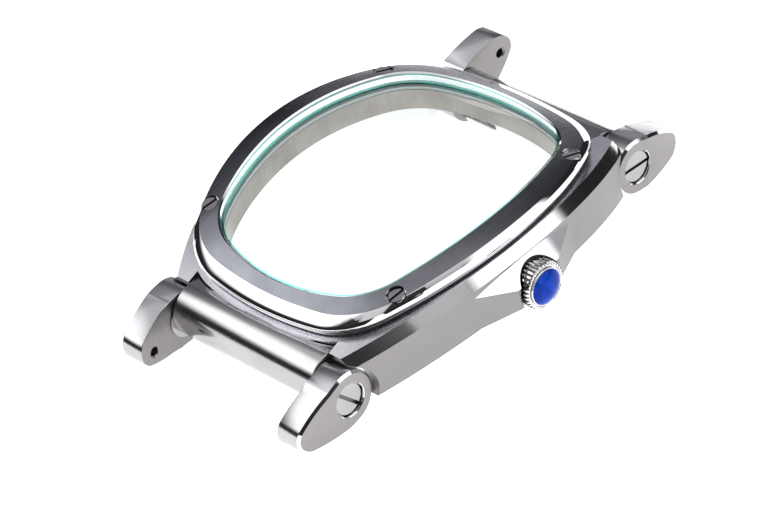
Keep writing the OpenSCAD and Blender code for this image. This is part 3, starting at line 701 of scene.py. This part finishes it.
def lug_level():
    """Right rear lug, drawn level with its pivot at the origin"""
    bm = bmesh.new()
    near = bow_r - lug_r
    far = bow_r - tip_r
    bow_y = (near * near - far * far + tip_y * tip_y) / (2 * tip_y)
    bow_z = -math.sqrt(near * near - bow_y * bow_y)
    first = math.atan2(-bow_z, -bow_y)
    last = math.atan2(-bow_z, tip_y - bow_y)
    v = bm.verts.new((lug_in, -lug_r, 0))
    v = arc(bm, v, (0, 0, 0), first - math.pi, 28, (1, 0, 0))
    v = arc(bm, v, (0, bow_y, bow_z), last - first, 12, (1, 0, 0))
    arc(bm, v, (0, tip_y, 0), -last, 14, (1, 0, 0))
    bmesh.ops.mirror(bm, geom=bm.verts[:] + bm.edges[:], axis="Z", merge_dist=0.0001)
    bmesh.ops.remove_doubles(bm, verts=bm.verts, dist=0.0005)
    fill_and_extrude(bm, (lug_out - lug_in, 0, 0), on_lug_side, on_lug_rim)
    # Beyond the hub, the arm leans in towards the strap
    outer_knee = lug_r / 2
    inner_knee = lug_r - 0.25
    for y in (outer_knee, inner_knee):
        bmesh.ops.bisect_plane(bm, geom=bm.verts[:] + bm.edges[:] + bm.faces[:], dist=0.0001,
                               plane_co=(0, y, 0), plane_no=(0, 1, 0))
    lean = math.tan(math.radians(9))
    for v in bm.verts:
        knee_y = outer_knee if v.co.x > lug_in + 0.1 else inner_knee
        v.co.x -= max(v.co.y - knee_y, 0) * lean
    outer = []
    inner = []
    for e in bm.edges:
        if len(e.link_faces) == 2 and len({f.material_index for f in e.link_faces}) == 2:
            flat = [f for f in e.link_faces if f.material_index == on_lug_side][0]
            (outer if flat.normal.x > 0 else inner).append(e)
    # Faces that look in towards the case take the darker satin, the painted shade
    for face in bm.faces:
        if face.material_index == on_lug_side and face.normal.x < 0:
            face.material_index = on_lug_inside_painted_shade
    bmesh.ops.bevel(bm, geom=outer, offset=0.3, segments=1, profile=0.5, affect="EDGES",
                    material=on_lug_bevel)
    inner = [e for e in inner if e.is_valid]
    bmesh.ops.bevel(bm, geom=inner, offset=0.1, segments=2, profile=0.5, affect="EDGES", material=-1)
    bm = cut(bm, rod((5, 0, 0), (20, 0, 0), bush_hole_r), lug_finishes)
    quarter = Matrix.Rotation(math.pi / 2, 3, "Y")
    seat = lathe([(0, 13.31), (2.05, 13.31), (2.05, 14.62), (2.2, 14.77), (2.2, 20), (0, 20)],
                 on_lug_bevel, 64)
    bmesh.ops.rotate(seat, cent=(0, 0, 0), matrix=quarter, verts=seat.verts)
    bm = cut(bm, seat, lug_finishes)
    hole = lathe([(0, 5), (0.75, 5), (0.75, 10.65), (0.55, 10.85), (0.55, 12.6), (0.2, 12.9), (0, 12.9)],
                 on_lug_side, 32)
    bmesh.ops.rotate(hole, cent=(0, 0, 0), matrix=quarter, verts=hole.verts)
    bmesh.ops.translate(hole, vec=(0, strap_bar_y, strap_bar_z), verts=hole.verts)
    return cut(bm, hole, lug_finishes)


# The angle is the lug's tilt in the photo, in degrees, and below level where it is negative
lug_places = [("front_left", -1, -1, -4), ("front_right", 1, -1, -16),
              ("rear_left", -1, 1, 34), ("rear_right", 1, 1, -13)]
for where, sx, sy, angle in lug_places:
    lug = lug_level()
    tilt = Matrix.Rotation(math.radians(angle), 3, "X")
    bmesh.ops.rotate(lug, cent=(0, 0, 0), matrix=tilt, verts=lug.verts)
    bmesh.ops.scale(lug, vec=(sx, sy, 1), verts=lug.verts)
    bmesh.ops.translate(lug, vec=(0, sy * pivot_y, pivot_z), verts=lug.verts)
    place_piece(lug, "lug_arm_" + where, lug_finishes, where + "_lug", ["lug_" + where], 30)


# Lug screws: a broad slotted head sits in the outer face of each lug. The shank turns in a bronze bush
# and screws into the axle tube of the end bar.
lug_screws = bmesh.new()
lug_head_x = 14.4
for sx, sy, turn in ((1, -1, -50), (1, 1, -6), (-1, -1, -35), (-1, 1, 20)):
    one = slotted([(0, 0), (1.83, 0), (1.93, -0.1), (1.93, -1.07), (0.73, -1.07), (0.73, -3.5), (0.58, -3.5),
                   (0.58, -6.6), (0.45, -6.7), (0, -6.7)], width=0.42, depth=0.4, steps=64)
    bmesh.ops.rotate(one, cent=(0, 0, 0), matrix=Matrix.Rotation(math.pi / 2, 3, "Z"), verts=one.verts)
    bmesh.ops.rotate(one, cent=(0, 0, 0), matrix=Matrix.Rotation(math.pi / 2, 3, "Y"), verts=one.verts)
    bmesh.ops.translate(one, vec=(lug_head_x, 0, 0), verts=one.verts)
    bmesh.ops.scale(one, vec=(sx, 1, 1), verts=one.verts)
    bmesh.ops.rotate(one, cent=(0, 0, 0), matrix=Matrix.Rotation(math.radians(turn), 3, "X"), verts=one.verts)
    bmesh.ops.translate(one, vec=(0, sy * pivot_y, pivot_z), verts=one.verts)
    add_part(lug_screws, one)
place_piece(lug_screws, "lug_screw_set", screw_finishes, "case", ["lug_screws"])

# The hidden turned pieces keep their CAD shape
bronze = metal("bush_bronze", (0.62, 0.44, 0.22), 0.3, 0.08, (9, 9, 9), 0.15)
dress("lug_bushes", bronze)
for name in ("lug_washers", "lug_axle_front", "lug_axle_rear", "end_bar_screws", "crown_tube",
             "crown_washer", "crown_post"):
    dress(name, screw_steel)


# Crown: turned and polished steel with 34 milled flutes behind a plain front ring. It turns and slides on its
# tube. A thin setting ring in its front holds a domed blue cabochon, which is glued in.
crown_steel = metal("crown_steel", (0.80, 0.80, 0.81), 0.1, 0.03, (6, 6, 6), 0.05, 0.03)
# Dark steel for the floors of the flutes: painted shade in the grooves
flute_floor_painted_shade = metal("flute_floor_painted_shade", (0.16, 0.16, 0.165), 0.35, 0.08, (9, 9, 9), 0.1)
crown_finishes = [crown_steel, flute_floor_painted_shade]
on_crown, on_flute_painted_shade = range(2)
crown_back = 20.35
flutes = 34
flute_r = 2.58
flute_w = 0.58
crown = lathe([(1.65, 0), (2.66, 0), (2.8, 0.14), (2.82, 0.3), (2.82, 1.9), (2.8, 2.06), (2.7, 2.2),
               (2.56, 2.25), (2.5, 2.25), (2.44, 2.19), (2.44, 1.9), (0.76, 1.9), (0.76, 1.6), (1.65, 1.6),
               (1.65, 0)], on_crown, flutes * 10)
for v in crown.verts:
    r = math.hypot(v.co.x, v.co.y)
    if r > 2.6:
        part = math.atan2(v.co.y, v.co.x) * flutes / (2 * math.pi)
        part = abs(part - round(part)) * 2
        depth = (r - flute_r) * max(0.0, 1 - (part / flute_w) ** 2) ** 0.5
        v.co.x *= 1 - depth / r
        v.co.y *= 1 - depth / r
# The flute floors take the dark steel, the painted shade
for face in crown.faces:
    middle = face.calc_center_median()
    if 2.5 < math.hypot(middle.x, middle.y) < 2.7 and 0.2 < middle.z < 2.1:
        face.material_index = on_flute_painted_shade


def along_crown(bm, x):
    """Turns a piece from Z to the crown's axis"""
    bmesh.ops.rotate(bm, cent=(0, 0, 0), matrix=Matrix.Rotation(math.pi / 2, 3, "Y"), verts=bm.verts)
    bmesh.ops.translate(bm, vec=(x, 0, crown_h), verts=bm.verts)
    return bm


crown = along_crown(crown, crown_back)
place_piece(crown, "crown_knob", crown_finishes, "crown", ["crown_shell"], 40)
ring = lathe([(1.75, 0.01), (2.42, 0.01), (2.42, 0.08), (2.26, 0.08), (2.26, 0.42), (2.22, 0.48),
              (2.11, 0.48), (2.11, 0.16), (1.75, 0.16), (1.75, 0.01)], 0, 96)
setting_back = 22.25
ring = along_crown(ring, setting_back)
place_piece(ring, "cabochon_setting", [crown_steel], "crown", ["crown_setting"])

blue = bpy.data.materials.new("blue_stone")
blue.use_nodes = True
tree = blue.node_tree
shader = tree.nodes["Principled BSDF"]
shader.inputs["Roughness"].default_value = 0.08
shader.inputs["IOR"].default_value = 1.33
shader.inputs["Specular IOR Level"].default_value = 0.25
place = tree.nodes.new("ShaderNodeTexCoord")
vein = tree.nodes.new("ShaderNodeTexNoise")
vein.inputs["Scale"].default_value = 700.0
vein.inputs["Detail"].default_value = 2.0
tree.links.new(place.outputs["Object"], vein.inputs["Vector"])
deep = tree.nodes.new("ShaderNodeValToRGB")
deep.color_ramp.elements[0].position = 0.3
deep.color_ramp.elements[0].color = (0.0015, 0.024, 0.30, 1)
deep.color_ramp.elements[1].position = 0.7
deep.color_ramp.elements[1].color = (0.003, 0.07, 0.62, 1)
tree.links.new(vein.outputs["Fac"], deep.inputs["Fac"])
tree.links.new(deep.outputs["Color"], shader.inputs["Base Color"])
gem_r = 2.1
gem_h = 1.1
dome_h = 0.75
dome_r = (gem_r ** 2 + dome_h ** 2) / (2 * dome_h)
gem = bmesh.new()
top = gem.verts.new((0, 0, gem_h))
half = math.asin(gem_r / dome_r)
edge = arc(gem, top, (0, 0, gem_h - dome_r), half, 14, (0, 1, 0))
wall = [gem.verts.new((gem_r, 0, 0)), gem.verts.new((0, 0, 0))]
gem.edges.new((edge, wall[0]))
gem.edges.new(wall)
bmesh.ops.spin(gem, geom=gem.verts[:] + gem.edges[:], cent=(0, 0, 0), axis=(0, 0, 1), angle=2 * math.pi,
               steps=72, use_merge=True)
gem_back = 22.42
place_piece(along_crown(gem, gem_back), "cabochon_stone", [blue], "crown", ["cabochon"], 40)


# Floor and light: a plain white table, a broad soft light from above, and a dark studio with soft panels.
# The panels at the front left, the right and the rear right are bright, and those above, behind and at the
# left are grey. Low down the studio is dark but for the last four panels.
low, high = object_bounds()
floor_mesh = bmesh.new()
bmesh.ops.create_grid(floor_mesh, x_segments=2, y_segments=2, size=1.5,
                      matrix=Matrix.Translation((0, 0, low.z)))
mesh = bpy.data.meshes.new("floor")
floor_mesh.to_mesh(mesh)
floor_mesh.free()
floor = bpy.data.objects.new("floor", mesh)
bpy.context.scene.collection.objects.link(floor)
floor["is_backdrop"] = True
white = bpy.data.materials.new("white_table")
white.use_nodes = True
table = white.node_tree.nodes["Principled BSDF"]
table.inputs["Base Color"].default_value = (0.9, 0.9, 0.9, 1)
table.inputs["Roughness"].default_value = 0.9
table.inputs["Specular IOR Level"].default_value = 0.1
table.inputs["Emission Color"].default_value = (1, 1, 1, 1)
table.inputs["Emission Strength"].default_value = 0.85
mesh.materials.append(white)

world = bpy.context.scene.world or bpy.data.worlds.new("studio")
bpy.context.scene.world = world
world.use_nodes = True
tree = world.node_tree
sky = tree.nodes["Background"]
place = tree.nodes.new("ShaderNodeTexCoord")
studio_grey = (0.035, 0.035, 0.037)


def soft_panel(under, turn, height, inner, outer, shade):
    """Lays a round panel of light, seen in one direction, over what the studio shows so far. Its edge fades
    between two distances. All are in degrees, and the direction is a turn from +X and a height"""
    a = math.radians(turn)
    h = math.radians(height)
    facing = tree.nodes.new("ShaderNodeVectorMath")
    facing.operation = "DOT_PRODUCT"
    facing.inputs[1].default_value = (math.cos(a) * math.cos(h), math.sin(a) * math.cos(h), math.sin(h))
    tree.links.new(place.outputs["Generated"], facing.inputs[0])
    patch = tree.nodes.new("ShaderNodeMapRange")
    patch.interpolation_type = "SMOOTHSTEP"
    patch.inputs["From Min"].default_value = math.cos(math.radians(outer))
    patch.inputs["From Max"].default_value = math.cos(math.radians(inner))
    tree.links.new(facing.outputs["Value"], patch.inputs["Value"])
    mix = tree.nodes.new("ShaderNodeMix")
    mix.data_type = "RGBA"
    mix.inputs["A"].default_value = (*studio_grey, 1)
    mix.inputs["B"].default_value = (*shade, 1)
    tree.links.new(patch.outputs["Result"], mix.inputs["Factor"])
    if under:
        tree.links.new(under.outputs["Result"], mix.inputs["A"])
    return mix


shown = None
for panel in ((150, 32, 18, 38, (0.19, 0.195, 0.22)), (90, 90, 20, 45, (0.4, 0.4, 0.4)),
              (190, 55, 10, 30, (0.45, 0.45, 0.465)), (218, 33, 16, 37, (2.3, 2.3, 2.3))):
    shown = soft_panel(shown, *panel)
split = tree.nodes.new("ShaderNodeSeparateXYZ")
tree.links.new(place.outputs["Generated"], split.inputs["Vector"])
band = tree.nodes.new("ShaderNodeMapRange")
band.interpolation_type = "SMOOTHSTEP"
band.inputs["From Min"].default_value = 0.3
band.inputs["From Max"].default_value = 0.56
tree.links.new(split.outputs["Z"], band.inputs["Value"])
dark = tree.nodes.new("ShaderNodeMix")
dark.data_type = "RGBA"
dark.inputs["A"].default_value = (0.02, 0.02, 0.02, 1)
tree.links.new(band.outputs["Result"], dark.inputs["Factor"])
tree.links.new(shown.outputs["Result"], dark.inputs["B"])
shown = dark
for panel in ((36, 34, 20, 27, (1.5, 1.5, 1.5)), (0, 17, 12, 20, (1.5, 1.5, 1.5)),
              (57, 8, 8, 16, (0.42, 0.42, 0.45)), (131, 16, 8, 16, (0.4, 0.4, 0.43))):
    shown = soft_panel(shown, *panel)
tree.links.new(shown.outputs["Result"], sky.inputs["Color"])
sky.inputs["Strength"].default_value = 1.0

lamp = bpy.data.lights.new("softbox", "AREA")
lamp.energy = 1.0
lamp.shape = "RECTANGLE"
lamp.size = 0.9
lamp.size_y = 0.9
box = bpy.data.objects.new("softbox", lamp)
box.location = (0.05, -0.05, 0.7)
box.rotation_euler = box.location.to_track_quat("Z", "Y").to_euler()
bpy.context.scene.collection.objects.link(box)

bpy.context.scene.view_settings.view_transform = "Standard"

# Camera as fitted to the photo
azimuth = 0.910186
height = 0.667996
roll = -0.222194
ahead = Vector((-math.sin(azimuth) * math.cos(height), math.cos(azimuth) * math.cos(height),
                -math.sin(height)))
right = Vector((math.cos(azimuth), math.sin(azimuth), 0))
up = right.cross(ahead)
side_axis = math.cos(roll) * right + math.sin(roll) * up
up_axis = -math.sin(roll) * right + math.cos(roll) * up
eye = bpy.data.cameras.new("camera")
eye.lens = 224.29
eye.sensor_width = 36.0
eye.clip_start = 0.01
camera = bpy.data.objects.new("camera", eye)
turn = Matrix((side_axis, up_axis, -ahead)).transposed().to_4x4()
camera.matrix_world = Matrix.Translation((0.329451, -0.259130, 0.326785)) @ turn
bpy.context.scene.collection.objects.link(camera)
bpy.context.scene.camera = camera

low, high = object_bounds()
